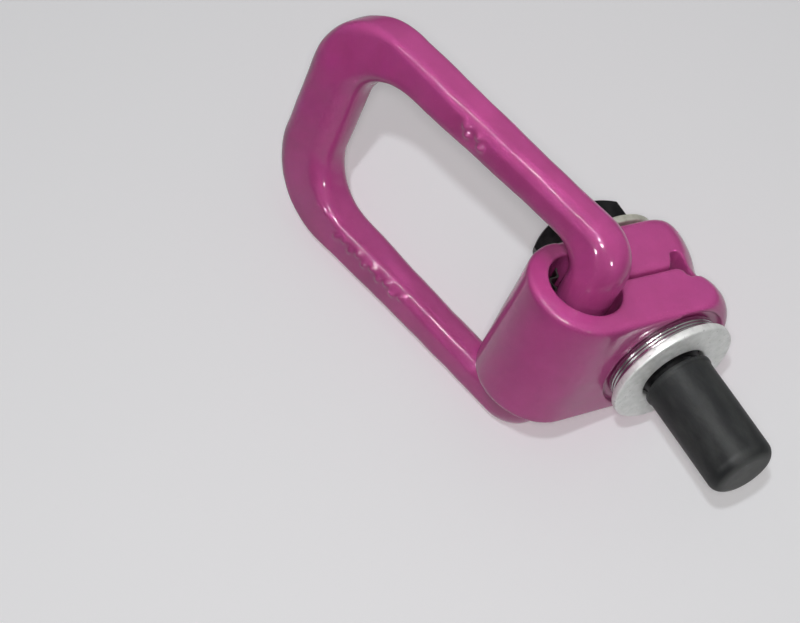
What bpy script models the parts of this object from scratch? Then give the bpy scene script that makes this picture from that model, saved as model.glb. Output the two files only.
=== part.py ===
"""Swivel hoist ring of the side-pull type, with an M20 hexagon bolt.

Row frame: the bolt axis is Z and the head is up. The origin is the centre of the seat face that is
pulled against the load. The link's pivot axis runs along X, on the -Y side of the bolt.
"""
import math

import bmesh
import bpy

COLLECTION = "swivel_hoist_ring"
MM = 0.001
GAP = 0.3 * MM
MERGE = 0.00001

# Link: a closed loop. Its short foot bar is round and sits in the body's tunnel; its legs and crown are
# square in section with rounded edges. Half widths are in the loop's plane and half depths across it.
LINK_FOOT_R = 8.15 * MM
LINK_LEG_HALF = 6.6 * MM
LINK_LEG_EDGE_R = 3.0 * MM
LINK_CROWN_HALF_WIDTH = 10.5 * MM
LINK_CROWN_HALF_DEPTH = 8.3 * MM
LINK_CROWN_EDGE_R = 7.5 * MM
LINK_HALF_SPACING = 36.9 * MM
LINK_CROWN_SPREAD = -0.4 * MM
LINK_LENGTH = 106.2 * MM
LINK_FOOT_OUTER_R = 14.0 * MM
LINK_FOOT_INNER_R = 8.0 * MM
LINK_CROWN_OUTER_R = 28.2 * MM
LINK_CROWN_INNER_R = 18.5 * MM
LINK_PIVOT_Y = -28.4 * MM
LINK_PIVOT_Z = 23.3 * MM
LINK_TILT = math.radians(14.4)
LINK_EDGE_POINTS = 5
LINK_CORNER_STEPS = 9

# Body: a forged strap folded round the link, with two legs that the bolt passes through.
BODY_HALF_WIDTH = 22.3 * MM
BODY_END_R = 26.7 * MM
BODY_UNDERSIDE_Z = 5.9 * MM
BODY_TOP_Z = 43.0 * MM
BODY_EDGE_R = 3.0 * MM
BARREL_R = 17.9 * MM
BARREL_Y = -30.2 * MM
BARREL_Z = BODY_UNDERSIDE_Z + BARREL_R
TUNNEL_R = 11.6 * MM
TUNNEL_Y = -29.6 * MM
TUNNEL_Z = 24.1 * MM
SLIT_TOP_Z = 23.3 * MM
SLIT_LOW_Z = 22.6 * MM
POCKET_Z = 28.6 * MM
NOSE_Z = 19.2 * MM
SHOULDER_Z = NOSE_Z - 0.7 * MM
WAIST_R = 7.4 * MM
WAIST_CENTRE_R = 30.5 * MM
WAIST_Z = 22.0 * MM
WAIST_FROM_Y = 8.0 * MM
SPOT_FACE_R = 20.9 * MM
SPOT_FACE_DEPTH = 1.6 * MM

# Clamp stack on the bolt, which stays still while the body swivels round it.
SEAT_WASHER_R = 20.6 * MM
SEAT_WASHER_T = 2.6 * MM
BUSH_FLANGE_R = 18.5 * MM
BUSH_SLEEVE_R = 14.0 * MM
BUSH_BORE_R = 10.4 * MM
HEAD_WASHER_R = 21.5 * MM
HEAD_WASHER_T = 2.7 * MM
HEAD_WASHER_LOW_Z = BODY_TOP_Z + 2 * GAP
WASHER_EDGE = 0.4 * MM

# Bolt, M20 with a 2.5 mm pitch. The thread starts just below the seat face.
THREAD_R = 9.9 * MM
THREAD_ROOT_R = 8.5 * MM
THREAD_PITCH = 2.5 * MM
THREAD_TOP_Z = -0.2 * MM
THREAD_TURNS = 12
THREAD_STEPS = 24
CREST_FROM = 0.32
CREST_TO = 0.45
ROOT_FROM = 0.77
HEAD_ACROSS_FLATS = 30.0 * MM
HEAD_HEIGHT = 12.4 * MM
HEAD_LOW_Z = HEAD_WASHER_LOW_Z + HEAD_WASHER_T + GAP
HEAD_FACE_R = HEAD_ACROSS_FLATS / 2 - 0.6 * MM
GROOVE_R = 9.2 * MM
RETAINER_Z = 4.3 * MM
RETAINER_R = 10.3 * MM
RETAINER_WIRE_R = 0.7 * MM
RETAINER_MOUTH = math.radians(24)

# Thread cap, pushed over the end of the bolt.
CAP_MOUTH_Z = -2.1 * MM
CAP_END_Z = -38.6 * MM
CAP_MOUTH_R = 11.3 * MM
CAP_TIP_R = 10.75 * MM
CAP_BORE_R = 10.2 * MM
CAP_CORNER_R = 4.0 * MM
CAP_FLOOR_T = 3.0 * MM

# Clamp spring, a wavy strip between the link's foot bar and the tunnel wall.
SPRING_HALF_LENGTH = 19.0 * MM
SPRING_T = 0.7 * MM
SPRING_SWING = 0.9 * MM
SPRING_FROM = math.radians(112)
SPRING_TO = math.radians(265)
SPRING_WAVES = 5
SPRING_STEPS = 40


def clear_scene():
    for obj in list(bpy.data.objects):
        bpy.data.objects.remove(obj, do_unlink=True)


def make_collection(name):
    collection = bpy.data.collections.new(name)
    bpy.context.scene.collection.children.link(collection)
    return collection


def make_material(name, colour, roughness, metallic):
    material = bpy.data.materials.new(name)
    material.use_nodes = True
    shader = material.node_tree.nodes["Principled BSDF"]
    shader.inputs["Base Color"].default_value = (*colour, 1.0)
    shader.inputs["Roughness"].default_value = roughness
    shader.inputs["Metallic"].default_value = metallic
    return material


def place(name, data, collection, material=None):
    obj = bpy.data.objects.new(name, data)
    collection.objects.link(obj)
    if material:
        data.materials.append(material)
    return obj


def shade_round(obj, sharp_deg=35):
    obj.data.shade_smooth()
    obj.data.set_sharp_from_angle(angle=math.radians(sharp_deg))


def arc(cx, cy, radius, start_deg, end_deg, steps):
    """Points along an arc, both ends included."""
    points = []
    for i in range(steps + 1):
        a = math.radians(start_deg + (end_deg - start_deg) * i / steps)
        points.append((cx + radius * math.cos(a), cy + radius * math.sin(a)))
    return points


def turned(name, profile, closed, steps, collection, material=None):
    """Revolve a profile of (radius, z) points about Z with a Screw modifier."""
    mesh = bpy.data.meshes.new(name)
    edges = [(i, i + 1) for i in range(len(profile) - 1)]
    if closed:
        edges.append((len(profile) - 1, 0))
    mesh.from_pydata([(r, 0, z) for r, z in profile], edges, [])
    obj = place(name, mesh, collection, material)
    screw = obj.modifiers.new("turn", "SCREW")
    screw.axis = "Z"
    screw.angle = 2 * math.pi
    screw.steps = steps
    screw.render_steps = steps
    screw.use_merge_vertices = True
    screw.merge_threshold = MERGE
    screw.use_smooth_shade = material is not None
    return obj


def plate(name, outline, thickness, collection, material=None):
    """A flat outline in local X, Y, thickened evenly about its plane and returned as a mesh."""
    curve = bpy.data.curves.new(name, "CURVE")
    curve.dimensions = "2D"
    curve.fill_mode = "BOTH"
    curve.extrude = thickness / 2
    spline = curve.splines.new("POLY")
    spline.points.add(len(outline) - 1)
    for point, (x, y) in zip(spline.points, outline):
        point.co = (x, y, 0, 1)
    spline.use_cyclic_u = True
    return curve_to_mesh(place(name + "_curve", curve, collection), name, collection, material)


def curve_to_mesh(source, name, collection, material):
    bpy.context.view_layer.update()
    evaluated = source.evaluated_get(bpy.context.evaluated_depsgraph_get())
    mesh = bpy.data.meshes.new_from_object(evaluated)
    mesh.name = name
    work = bmesh.new()
    work.from_mesh(mesh)
    bmesh.ops.remove_doubles(work, verts=work.verts, dist=MERGE)
    bmesh.ops.dissolve_limit(work, angle_limit=0.01, verts=work.verts, edges=work.edges)
    bmesh.ops.recalc_face_normals(work, faces=work.faces)
    work.to_mesh(mesh)
    work.free()
    obj = place(name, mesh, collection, material)
    obj.matrix_world = source.matrix_world
    bpy.data.objects.remove(source, do_unlink=True)
    return obj


def stand_on_side(obj):
    """Turn a plate so its outline's X, Y become world Y, Z and its thickness runs along X."""
    obj.rotation_euler = (math.pi / 2, 0, math.pi / 2)


def rod(name, radius, depth, centre, segments, collection, along_x=False):
    """A cylinder, or a prism of few segments, along Z or along X."""
    mesh = bpy.data.meshes.new(name)
    work = bmesh.new()
    bmesh.ops.create_cone(work, cap_ends=True, segments=segments, radius1=radius, radius2=radius,
                          depth=depth)
    work.to_mesh(mesh)
    work.free()
    obj = place(name, mesh, collection)
    obj.location = centre
    if along_x:
        obj.rotation_euler = (0, math.pi / 2, 0)
    return obj


def combine(obj, other, operation="DIFFERENCE"):
    modifier = obj.modifiers.new(f"{operation.lower()}_{other.name}", "BOOLEAN")
    modifier.operation = operation
    modifier.solver = "EXACT"
    modifier.object = other
    other.display_type = "WIRE"
    other.hide_render = True


def round_edges(obj, width, segments, angle_deg):
    modifier = obj.modifiers.new("rounded_edges", "BEVEL")
    modifier.width = width
    modifier.segments = segments
    modifier.limit_method = "ANGLE"
    modifier.angle_limit = math.radians(angle_deg)


def link_corner(outer, outer_r, inner, inner_r, start_deg):
    """Matched outer and inner points through one corner of the loop."""
    out = arc(*outer, outer_r, start_deg, start_deg + 90, LINK_CORNER_STEPS)
    inside = arc(*inner, inner_r, start_deg, start_deg + 90, LINK_CORNER_STEPS)
    return list(zip(out, inside))


def link_stations():
    """(outer point, inner point, half depth, edge radius) from the middle of the foot to the crown's."""
    foot_u = LINK_HALF_SPACING
    crown_u = LINK_HALF_SPACING + LINK_CROWN_SPREAD
    foot = link_corner(
        (foot_u + LINK_LEG_HALF - LINK_FOOT_OUTER_R, LINK_FOOT_OUTER_R - LINK_FOOT_R),
        LINK_FOOT_OUTER_R,
        (foot_u - LINK_LEG_HALF - LINK_FOOT_INNER_R, LINK_FOOT_R + LINK_FOOT_INNER_R),
        LINK_FOOT_INNER_R,
        -90,
    )
    crown_out_v = LINK_LENGTH + LINK_CROWN_HALF_WIDTH
    crown_in_v = LINK_LENGTH - LINK_CROWN_HALF_WIDTH
    crown = link_corner(
        (crown_u + LINK_LEG_HALF - LINK_CROWN_OUTER_R, crown_out_v - LINK_CROWN_OUTER_R),
        LINK_CROWN_OUTER_R,
        (crown_u - LINK_LEG_HALF - LINK_CROWN_INNER_R, crown_in_v - LINK_CROWN_INNER_R),
        LINK_CROWN_INNER_R,
        0,
    )
    stations = [((0, -LINK_FOOT_R), (0, LINK_FOOT_R), LINK_FOOT_R, LINK_FOOT_R)]
    for step, (out, inside) in enumerate(foot):
        share = step / LINK_CORNER_STEPS
        depth = LINK_FOOT_R + (LINK_LEG_HALF - LINK_FOOT_R) * share
        stations.append((out, inside, depth, LINK_FOOT_R + (LINK_LEG_EDGE_R - LINK_FOOT_R) * share))
    for step, (out, inside) in enumerate(crown):
        share = step / LINK_CORNER_STEPS
        depth = LINK_LEG_HALF + (LINK_CROWN_HALF_DEPTH - LINK_LEG_HALF) * share
        edge = LINK_LEG_EDGE_R + (LINK_CROWN_EDGE_R - LINK_LEG_EDGE_R) * share
        stations.append((out, inside, depth, edge))
    stations.append(((0, crown_out_v), (0, crown_in_v), LINK_CROWN_HALF_DEPTH, LINK_CROWN_EDGE_R))
    return stations


def rounded_section(half_width, half_depth, edge_r):
    """Points round a rectangle with rounded edges, or round a circle when the edges meet."""
    edge_r = min(edge_r, half_width, half_depth)
    points = []
    for side_w, side_d, quarter in ((1, 1, 0), (-1, 1, 1), (-1, -1, 2), (1, -1, 3)):
        for i in range(LINK_EDGE_POINTS):
            a = math.pi / 2 * (quarter + (i + 0.5) / LINK_EDGE_POINTS)
            w = side_w * (half_width - edge_r) + edge_r * math.cos(a)
            d = side_d * (half_depth - edge_r) + edge_r * math.sin(a)
            points.append((w, d))
    return points


def build_link(collection, material):
    """One half lofted through unlike sections, and mirrored."""
    work = bmesh.new()
    loops = []
    for outer, inner, depth, edge_r in link_stations():
        mid_u, mid_v = (outer[0] + inner[0]) / 2, (outer[1] + inner[1]) / 2
        arm_u, arm_v = (outer[0] - inner[0]) / 2, (outer[1] - inner[1]) / 2
        half_width = math.hypot(arm_u, arm_v)
        loop = []
        for w, d in rounded_section(half_width, depth, edge_r):
            share = w / half_width
            loop.append(work.verts.new((mid_u + arm_u * share, -d, mid_v + arm_v * share)))
        loops.append(loop)
    for here, there in zip(loops, loops[1:]):
        for s in range(len(here)):
            t = (s + 1) % len(here)
            work.faces.new((here[s], there[s], there[t], here[t]))
    mesh = bpy.data.meshes.new("link")
    work.to_mesh(mesh)
    work.free()
    link = place("link", mesh, collection, material)
    shade_round(link)
    mirror = link.modifiers.new("mirror", "MIRROR")
    mirror.use_axis = (True, False, False)
    mirror.merge_threshold = MERGE
    link.location = (0, LINK_PIVOT_Y, LINK_PIVOT_Z)
    link.rotation_euler = (LINK_TILT, 0, 0)
    return link


def side_outline():
    """The folded strap from the side, as Y and Z."""
    reach = BODY_END_R + 4 * MM
    outline = [(reach, BODY_UNDERSIDE_Z), (reach, BODY_TOP_Z), (-12 * MM, BODY_TOP_Z)]
    return outline + arc(BARREL_Y, BARREL_Z, BARREL_R, 88, 270, 22)


def plan_outline():
    """Flat sides with a round end about the bolt, as X and Y."""
    turn = math.degrees(math.acos(BODY_HALF_WIDTH / BODY_END_R))
    wide = BODY_HALF_WIDTH + MM
    end_y = BODY_END_R * math.sin(math.radians(turn))
    outline = [(-wide, -60 * MM), (wide, -60 * MM), (wide, end_y - MM)]
    outline += [(BODY_HALF_WIDTH, end_y)] + arc(0, 0, BODY_END_R, 37.5, 142.5, 14)
    return outline + [(-BODY_HALF_WIDTH, end_y), (-wide, end_y - MM)]


def slit_outline():
    """The gap between the legs as Y and Z: straight, then a pocket, then a hooked nose."""
    beyond = 40 * MM
    lower = [(TUNNEL_Y, SLIT_LOW_Z), (5.0 * MM, SLIT_LOW_Z), (6.7 * MM, SLIT_LOW_Z - MM)]
    lower += [(7.6 * MM, SLIT_LOW_Z - 2.6 * MM), (8.0 * MM, SHOULDER_Z), (beyond, SHOULDER_Z)]
    upper = [(beyond, NOSE_Z), (13.4 * MM, NOSE_Z), (12.2 * MM, NOSE_Z + MM)]
    upper += [(10.2 * MM, POCKET_Z), (6.8 * MM, POCKET_Z), (3.8 * MM, SLIT_TOP_Z)]
    return lower + upper + [(TUNNEL_Y, SLIT_TOP_Z)]


def build_body(collection, cutters, material):
    """The side outline crossed with the plan outline, rounded, then cut."""
    body = plate("body", side_outline(), 2 * BODY_HALF_WIDTH, collection, material)
    stand_on_side(body)
    plan = plate("plan_outline", plan_outline(), 160 * MM, cutters)
    combine(body, plan, "INTERSECT")
    round_edges(body, BODY_EDGE_R, 3, 50)

    waist = turned("waist", arc(WAIST_CENTRE_R, WAIST_Z, WAIST_R, 360, 30, 11), True, 48, cutters)
    beyond = 60 * MM
    end_corners = [(-beyond, WAIST_FROM_Y), (beyond, WAIST_FROM_Y), (beyond, beyond), (-beyond, beyond)]
    combine(waist, plate("waist_limit", end_corners, 160 * MM, cutters), "INTERSECT")
    combine(body, waist)
    tunnel = rod("tunnel", TUNNEL_R, 80 * MM, (0, TUNNEL_Y, TUNNEL_Z), 32, cutters, along_x=True)
    combine(body, tunnel)
    slit = plate("slit", slit_outline(), 80 * MM, cutters)
    stand_on_side(slit)
    combine(body, slit)
    bore = rod("leg_bore", BUSH_SLEEVE_R + GAP, 120 * MM, (0, 0, 0), 48, cutters)
    combine(body, bore)
    spot_depth = BODY_UNDERSIDE_Z + SPOT_FACE_DEPTH
    spot = rod("spot_face", SPOT_FACE_R, spot_depth, (0, 0, spot_depth / 2), 48, cutters)
    combine(body, spot)
    return body


def build_spring(collection, material):
    """A wavy strip that follows the gap between the foot bar and the tunnel wall."""
    dy, dz = TUNNEL_Y - LINK_PIVOT_Y, TUNNEL_Z - LINK_PIVOT_Z
    inner, outer = [], []
    for i in range(SPRING_STEPS + 1):
        part = i / SPRING_STEPS
        a = SPRING_FROM + (SPRING_TO - SPRING_FROM) * part
        c, s = math.cos(a), math.sin(a)
        along = dy * c + dz * s
        wall = along + math.sqrt(TUNNEL_R**2 - (dy**2 + dz**2 - along**2))
        room = (wall - LINK_FOOT_R) / 2 - SPRING_T / 2 - GAP
        wave = math.cos(2 * math.pi * SPRING_WAVES * part)
        r = (LINK_FOOT_R + wall) / 2 + min(SPRING_SWING, room) * wave
        near, far = r - SPRING_T / 2, r + SPRING_T / 2
        inner.append((LINK_PIVOT_Y + near * c, LINK_PIVOT_Z + near * s))
        outer.append((LINK_PIVOT_Y + far * c, LINK_PIVOT_Z + far * s))
    outline = outer + list(reversed(inner))
    spring = plate("clamp_spring", outline, 2 * SPRING_HALF_LENGTH, collection, material)
    stand_on_side(spring)
    return spring


def build_washer(name, radius, bore, low, thickness, collection, material):
    high = low + thickness
    profile = [(bore, high), (radius - WASHER_EDGE, high), (radius, high - WASHER_EDGE)]
    profile += [(radius, low + WASHER_EDGE), (radius - WASHER_EDGE, low), (bore, low)]
    return turned(name, profile, True, 48, collection, material)


def build_bush(collection, material):
    """A flanged sleeve with a relief under the flange for the retaining ring."""
    low = SEAT_WASHER_T + GAP
    flange_top = BODY_UNDERSIDE_Z + SPOT_FACE_DEPTH - GAP
    top = HEAD_WASHER_LOW_Z - GAP
    relief_z = RETAINER_Z + RETAINER_WIRE_R + 0.7 * MM
    relief_r = RETAINER_R + RETAINER_WIRE_R + 0.6 * MM
    profile = [(BUSH_BORE_R, top), (BUSH_SLEEVE_R, top), (BUSH_SLEEVE_R, flange_top)]
    profile += [(BUSH_FLANGE_R, flange_top), (BUSH_FLANGE_R, low), (relief_r, low)]
    profile += [(relief_r, relief_z), (BUSH_BORE_R, relief_z)]
    return turned("flanged_bush", profile, True, 48, collection, material)


def build_retainer(collection, material):
    """A split ring of round wire in the shank's groove."""
    curve = bpy.data.curves.new("retaining_ring", "CURVE")
    curve.dimensions = "3D"
    curve.bevel_depth = RETAINER_WIRE_R
    curve.bevel_resolution = 2
    curve.use_fill_caps = True
    half = math.degrees(RETAINER_MOUTH) / 2
    points = arc(0, 0, RETAINER_R, half, 360 - half, 32)
    spline = curve.splines.new("POLY")
    spline.points.add(len(points) - 1)
    for point, (x, y) in zip(spline.points, points):
        point.co = (x, y, 0, 1)
    ring = place("retaining_ring", curve, collection, material)
    ring.location = (0, 0, RETAINER_Z)
    return ring


def thread_column():
    """(depth in pitches, radius) down one side of the thread, one ridge for each turn."""
    ridge = ((0.0, THREAD_ROOT_R), (CREST_FROM, THREAD_R), (CREST_TO, THREAD_R),
             (ROOT_FROM, THREAD_ROOT_R))
    column = [(turn + phase, r) for turn in range(THREAD_TURNS) for phase, r in ridge]
    return column + [(THREAD_TURNS, THREAD_ROOT_R)], len(ridge)


def threaded_shank(name, collection, material):
    """The shank as one skin: plain rings, then columns that drop one pitch in each turn."""
    work = bmesh.new()

    def vert(radius, z, i):
        a = 2 * math.pi * i / THREAD_STEPS
        return work.verts.new((radius * math.cos(a), radius * math.sin(a), z))

    def ring(radius, z):
        return [vert(radius, z, i) for i in range(THREAD_STEPS)]

    def band(above, below):
        for i in range(THREAD_STEPS):
            j = (i + 1) % THREAD_STEPS
            work.faces.new((above[i], below[i], below[j], above[j]))

    groove_low = RETAINER_Z - RETAINER_WIRE_R - GAP
    groove_high = RETAINER_Z + RETAINER_WIRE_R + GAP
    plain = [(THREAD_R, HEAD_LOW_Z + 4 * MM), (THREAD_R, groove_high), (GROOVE_R, groove_high),
             (GROOVE_R, groove_low), (THREAD_R, groove_low), (THREAD_R, THREAD_TOP_Z + 1.2 * MM),
             (THREAD_ROOT_R, THREAD_TOP_Z + 0.2 * MM)]
    rings = [ring(r, z) for r, z in plain]
    for above, below in zip(rings, rings[1:]):
        band(above, below)

    column, per_turn = thread_column()
    columns = []
    for i in range(THREAD_STEPS):
        drop = i / THREAD_STEPS
        columns.append([vert(r, THREAD_TOP_Z - THREAD_PITCH * (d + drop), i) for d, r in column])
    tail_z = THREAD_TOP_Z - THREAD_PITCH * (THREAD_TURNS + 1) - 0.2 * MM
    foot = ring(THREAD_ROOT_R, tail_z)
    tip = ring(THREAD_ROOT_R - MM, tail_z - 0.8 * MM)
    band(foot, tip)
    work.faces.new(rings[0])
    work.faces.new(list(reversed(tip)))

    head = rings[-1]
    for i in range(THREAD_STEPS - 1):
        here, there = columns[i], columns[i + 1]
        work.faces.new((head[i], here[0], there[0], head[i + 1]))
        for k in range(len(column) - 1):
            work.faces.new((here[k], here[k + 1], there[k + 1], there[k]))
        work.faces.new((here[-1], foot[i], foot[i + 1], there[-1]))
    here, there = columns[-1], columns[0]
    work.faces.new([head[-1], here[0]] + there[per_turn::-1] + [head[0]])
    for k in range(len(column) - 1 - per_turn):
        work.faces.new((here[k], here[k + 1], there[k + 1 + per_turn], there[k + per_turn]))
    work.faces.new(here[-1 - per_turn:] + [foot[-1], foot[0], there[-1]])

    mesh = bpy.data.meshes.new(name)
    work.to_mesh(mesh)
    work.free()
    return place(name, mesh, collection, material)


def build_bolt(collection, cutters, material):
    """The shank joined to a hexagon head with a chamfered top and a washer face."""
    bolt = threaded_shank("bolt", collection, material)
    top = HEAD_LOW_Z + HEAD_HEIGHT
    corner = HEAD_ACROSS_FLATS / 2 / math.cos(math.radians(30))
    centre = (0, 0, (HEAD_LOW_Z + top) / 2)
    hexagon = rod("hexagon", corner, HEAD_HEIGHT, centre, 6, cutters)
    chamfer_z = top - 1.3 * (corner - HEAD_FACE_R) * math.tan(math.radians(30))
    wide = corner + MM
    profile = [(0, top + MM), (HEAD_FACE_R, top + MM), (HEAD_FACE_R, top), (wide, chamfer_z)]
    profile += [(wide, HEAD_LOW_Z + 0.6 * MM), (HEAD_FACE_R, HEAD_LOW_Z + 0.4 * MM)]
    profile += [(HEAD_FACE_R, HEAD_LOW_Z - MM), (0, HEAD_LOW_Z - MM)]
    combine(hexagon, turned("head_chamfer", profile, False, 48, cutters), "INTERSECT")
    combine(bolt, hexagon, "UNION")
    return bolt


def build_cap(collection, material):
    """A soft cup: floor and bore inside, then the mouth, the tapering side and a round end."""
    edge = GAP
    profile = [(0, CAP_END_Z + CAP_FLOOR_T), (CAP_BORE_R, CAP_END_Z + CAP_FLOOR_T)]
    profile += [(CAP_BORE_R, CAP_MOUTH_Z), (CAP_MOUTH_R - edge, CAP_MOUTH_Z)]
    profile += [(CAP_MOUTH_R, CAP_MOUTH_Z - edge)]
    tip_r = CAP_TIP_R - CAP_CORNER_R
    profile += arc(tip_r, CAP_END_Z + CAP_CORNER_R, CAP_CORNER_R, 0, -90, 5)
    profile.append((0, CAP_END_Z))
    return turned("thread_cap", profile, False, 40, collection, material)


def main():
    clear_scene()
    parts = make_collection(COLLECTION)
    cutters = make_collection("cutters")
    paint = make_material("magenta_paint", (0.34, 0.05, 0.21), 0.25, 0.0)
    zinc = make_material("zinc_plate", (0.62, 0.63, 0.60), 0.42, 1.0)
    bright = make_material("bright_steel", (0.60, 0.60, 0.60), 0.28, 1.0)
    black = make_material("black_oxide", (0.025, 0.025, 0.027), 0.45, 0.6)
    spring_steel = make_material("spring_steel", (0.12, 0.12, 0.12), 0.4, 0.9)
    rubber = make_material("cap_rubber", (0.018, 0.018, 0.018), 0.7, 0.0)

    build_link(parts, paint)
    build_body(parts, cutters, paint)
    build_spring(parts, spring_steel)
    washer_bore = THREAD_R + 0.7 * MM
    build_washer("seat_washer", SEAT_WASHER_R, washer_bore, 0, SEAT_WASHER_T, parts, zinc)
    build_bush(parts, bright)
    build_washer("head_washer", HEAD_WASHER_R, washer_bore, HEAD_WASHER_LOW_Z, HEAD_WASHER_T,
                 parts, zinc)
    build_bolt(parts, cutters, black)
    build_retainer(parts, spring_steel)
    build_cap(parts, rubber)


main()
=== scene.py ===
"""Looks of a side-pull swivel hoist ring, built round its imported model.

Every mesh here is made in the row frame: metres, the bolt axis is Z with the head up, and the link's pivot
axis runs along X on the -Y side of the bolt.
"""

import math

import bmesh
import bpy
from mathutils import Matrix, Vector, noise

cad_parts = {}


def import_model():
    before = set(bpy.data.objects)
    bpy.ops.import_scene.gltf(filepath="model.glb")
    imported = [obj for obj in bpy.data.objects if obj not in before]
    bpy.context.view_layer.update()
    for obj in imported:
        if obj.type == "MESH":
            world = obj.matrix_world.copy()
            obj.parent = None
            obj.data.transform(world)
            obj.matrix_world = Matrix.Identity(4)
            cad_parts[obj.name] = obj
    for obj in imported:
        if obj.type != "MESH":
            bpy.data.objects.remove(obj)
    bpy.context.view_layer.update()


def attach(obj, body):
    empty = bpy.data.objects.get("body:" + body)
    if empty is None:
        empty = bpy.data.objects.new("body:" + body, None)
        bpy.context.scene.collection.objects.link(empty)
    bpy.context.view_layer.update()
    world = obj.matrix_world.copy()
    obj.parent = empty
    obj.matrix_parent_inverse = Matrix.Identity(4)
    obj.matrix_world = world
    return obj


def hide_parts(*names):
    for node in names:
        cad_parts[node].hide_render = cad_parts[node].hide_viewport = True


MM = 0.001

# Camera and table. The ring lies on its far leg and on the round end of its body, so the table is tilted.
CAMERA_PLACE = (0.3619, -0.3574, -0.1944)
CAMERA_TURN_DEG = (121.568, 28.397, 68.379)
CAMERA_LENS_MM = 80.3
SENSOR_MM = 36.0
FLOOR_UP = Vector((0.90, -0.422, -0.111)).normalized()
FLOOR_LEVEL = -32.2 * MM
FLOOR_HALF = 0.5
FLOOR_MIDDLE = Vector((30.0, -10.0, 50.0)) * MM
FLOOR_WHITE = (0.8, 0.8, 0.81)
FLOOR_GLOW = (0.17, 0.17, 0.175)
FLOOR_DIM = (0.06, 0.06, 0.065)
# Reflections and stray light find the table white within the first distance, and dim beyond the second.
FLOOR_WHITE_WITHIN = 0.10
FLOOR_DIM_BEYOND = 0.32

# Studio: lights aim at AIM, and the room and the paper change tone along these directions.
AIM = Vector((-5.0, -45.0, 50.0)) * MM
ROOM_SIDE = Vector((0.677, 0.711, 0.188))
ROOM_DARK = 0.03
ROOM_LIGHT = 0.19
PAPER_SHADE = Vector((-0.333, 0.324, -0.89))
PAPER_DARK = 0.675
PAPER_LIGHT = 0.752
LEG_AXIS = Vector((0, -0.249, 0.969))

# Link: round foot bar, rounded-square legs and crown.
LINK_FOOT_R = 8.15 * MM
LINK_LEG_HALF = 6.6 * MM
LINK_LEG_EDGE_R = 3.0 * MM
LINK_LEG_FOOT_EDGE_R = 5.8 * MM
LINK_CROWN_HALF_WIDTH = 10.5 * MM
LINK_CROWN_HALF_DEPTH = 8.3 * MM
LINK_CROWN_EDGE_R = 7.5 * MM
LINK_HALF_SPACING = 36.9 * MM
LINK_CROWN_SPREAD = -0.4 * MM
LINK_LENGTH = 106.2 * MM
LINK_FOOT_OUTER_R = 14.0 * MM
LINK_FOOT_INNER_R = 8.0 * MM
LINK_CROWN_OUTER_R = 28.2 * MM
LINK_CROWN_INNER_R = 18.5 * MM
LINK_PIVOT = Vector((0.0, -28.4, 23.3)) * MM
LINK_TILT = math.radians(14.4)
LINK_FOOT_STEPS = 30
LINK_CROWN_STEPS = 60
LINK_STATION = 0.7 * MM
FLAT_HALF_DEG = 11.5
FLAT_STEPS = 10
EDGE_STEPS = 9

# Raised forging pips on the front of each leg, as places across and along the link.
PIP_SIZE = 0.75 * MM
PIP_HEIGHT = 1.2 * MM
NEAR_PIPS = ((38.9, 56.0), (36.6, 54.4), (38.9, 50.6), (36.4, 48.8))
FAR_PIPS = tuple((-33.4 + 0.7 * (-1) ** k, 50.0 + 3.4 * k) for k in range(10))

# Body.
BODY_HALF_WIDTH = 22.3 * MM
BODY_UNDERSIDE_Z = 5.9 * MM
BODY_TOP_Z = 43.0 * MM
BARREL_R = 17.9 * MM
BARREL_Y = -30.2 * MM
BARREL_Z = BODY_UNDERSIDE_Z + BARREL_R
TUNNEL_R = 11.6 * MM
TUNNEL_Y = -29.6 * MM
TUNNEL_Z = 24.1 * MM
SLIT_TOP_Z = 23.3 * MM
SLIT_LOW_Z = 22.6 * MM
POCKET_Z = 28.6 * MM
NOSE_Z = 19.2 * MM
SHOULDER_Z = NOSE_Z - 0.7 * MM
SPOT_FACE_R = 20.9 * MM
SPOT_FACE_DEPTH = 1.6 * MM
LEG_VOXEL = 0.7 * MM
UPPER_LEG_SMOOTHING = 55
LOWER_LEG_SMOOTHING = 22
BODY_VOXEL = 0.5 * MM
BODY_SMOOTHING = 5
STRAP_FLAT_FROM_Y = -12.0 * MM
# The slit is cut too wide for the cells and then closed by this much, bending from the barrel.
SLIT_CLOSING = 1.1 * MM
BEND_FROM_Y = -34.0 * MM
BEND_TO_Y = -12.0 * MM
# Radius and height up the round end in mm: a lobe for each leg, with a waist between them.
WAIST_Z_MM = 22.0
ROUND_END = (
    (0, 5.9), (20.5, 5.9), (23.3, 6.6), (25.0, 8.6), (25.9, 11.5), (25.7, 15.5), (24.6, 19.0),
    (23.2, 21.2), (22.9, 22.6), (23.4, 24.3), (24.6, 26.6), (25.6, 29.5), (26.2, 33.0),
    (26.6, 36.5), (26.4, 39.5), (25.4, 41.8), (23.3, 43.0), (0, 43.0),
)

# Clamp stack.
GAP = 0.3 * MM
SEAT_WASHER_R = 20.6 * MM
SEAT_WASHER_T = 2.6 * MM
BUSH_FLANGE_R = 18.5 * MM
BUSH_SLEEVE_R = 14.0 * MM
BUSH_BORE_R = 10.4 * MM
BUSH_GROOVES = (5.3 * MM, 4.3 * MM)
HEAD_WASHER_R = 21.5 * MM
HEAD_WASHER_T = 2.7 * MM
HEAD_WASHER_LOW_Z = BODY_TOP_Z + 2 * GAP
WASHER_BORE_R = 10.6 * MM
TURNED_STEPS = 128

# Bolt, M20 with a 2.5 mm pitch.
THREAD_R = 9.9 * MM
THREAD_ROOT_R = 8.5 * MM
THREAD_PITCH = 2.5 * MM
THREAD_TOP_Z = -0.2 * MM
THREAD_TURNS = 12
THREAD_STEPS = 72
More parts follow.
